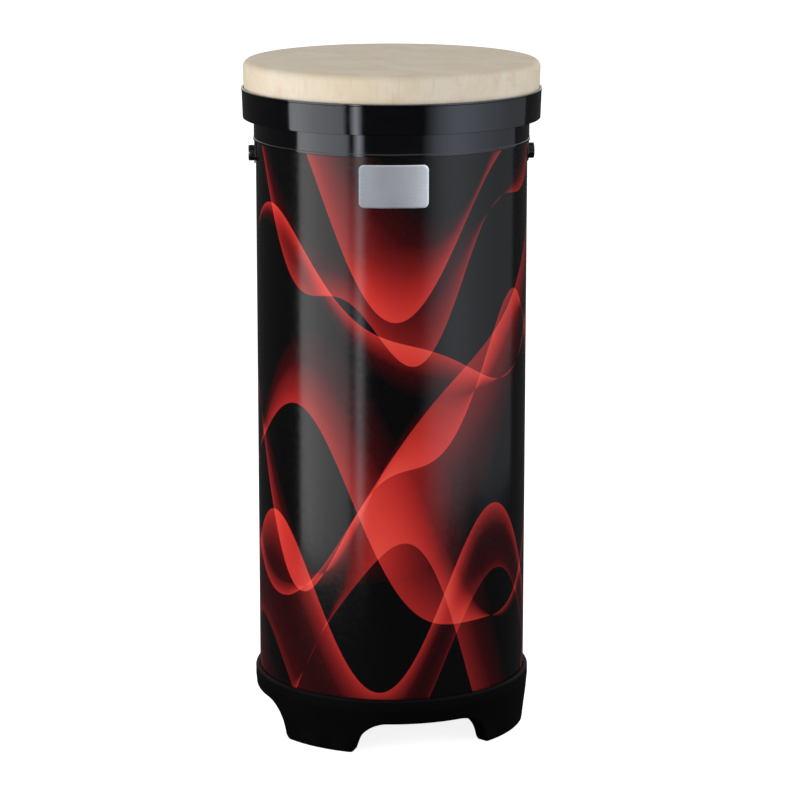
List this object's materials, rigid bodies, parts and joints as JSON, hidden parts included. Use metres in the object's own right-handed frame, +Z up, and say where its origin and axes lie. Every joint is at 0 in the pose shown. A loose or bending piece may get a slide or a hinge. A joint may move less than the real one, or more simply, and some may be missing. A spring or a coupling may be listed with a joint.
{
  "type": "tubano drum",
  "caption": "Tall tubular hand drum on a moulded foot ring with arches, with a lift-off pretuned head on a locked collar and a tone port inside.",
  "frame": {"origin": "on the floor, in the middle of the feet", "axes": "+Z up along the shell, -Y towards the front, where the plate is, +X to the right seen from the front"},
  "size_m": [0.2574, 0.2574, 0.584],
  "materials": {
    "foot_rubber": "matte moulded",
    "shell_fibre": "raw laminated fibre",
    "printed_film": "semi-gloss, translucent red veils on black",
    "baffle_board": "raw fibreboard",
    "port_plastic": "matte",
    "gloss_black": "gloss",
    "seat_rubber": "matte",
    "zinc_steel": "zinc plated",
    "rim_fibre": "raw fibre",
    "drum_skin": "fibrous, matte",
    "plate_metal": "brushed, bare",
    "pad_foam": "matte"
  },
  "bodies": {
    "drum": {"foot_ring": "foot_rubber", "shell": "shell_fibre", "print_film": "printed_film", "port_baffle": "baffle_board", "port_tube": "port_plastic", "port_screw_1": "zinc_steel", "port_screw_2": "zinc_steel", "port_screw_3": "zinc_steel", "port_screw_4": "zinc_steel", "collar": "gloss_black", "seat_ring": "seat_rubber", "tee_nut_left": "zinc_steel", "tee_nut_right": "zinc_steel", "badge_plate": "plate_metal", "badge_pad": "pad_foam"},
    "head": {"head_rim": "rim_fibre", "head_skin": "drum_skin", "head_band": "gloss_black"},
    "lock_left": {"knob_left": "gloss_black", "lock_screw_left": "zinc_steel"},
    "lock_right": {"knob_right": "gloss_black", "lock_screw_right": "zinc_steel"}
  },
  "joints": [
    {"name": "head_lift", "type": "slide", "parent": "drum", "child": "head", "axis": [0, 0, 1], "range_m": [0, 0.08]},
    {"name": "lock_left_turn", "type": "hinge", "parent": "drum", "child": "lock_left", "pos_m": [-0.11797, -0.00763, 0.5043], "axis": [-0.9979, -0.0645, 0], "range_deg": [0, 450]},
    {"name": "lock_right_turn", "type": "hinge", "parent": "drum", "child": "lock_right", "pos_m": [0.11797, 0.00763, 0.5043], "axis": [0.9979, 0.0645, 0], "range_deg": [0, 450]}
  ]
}
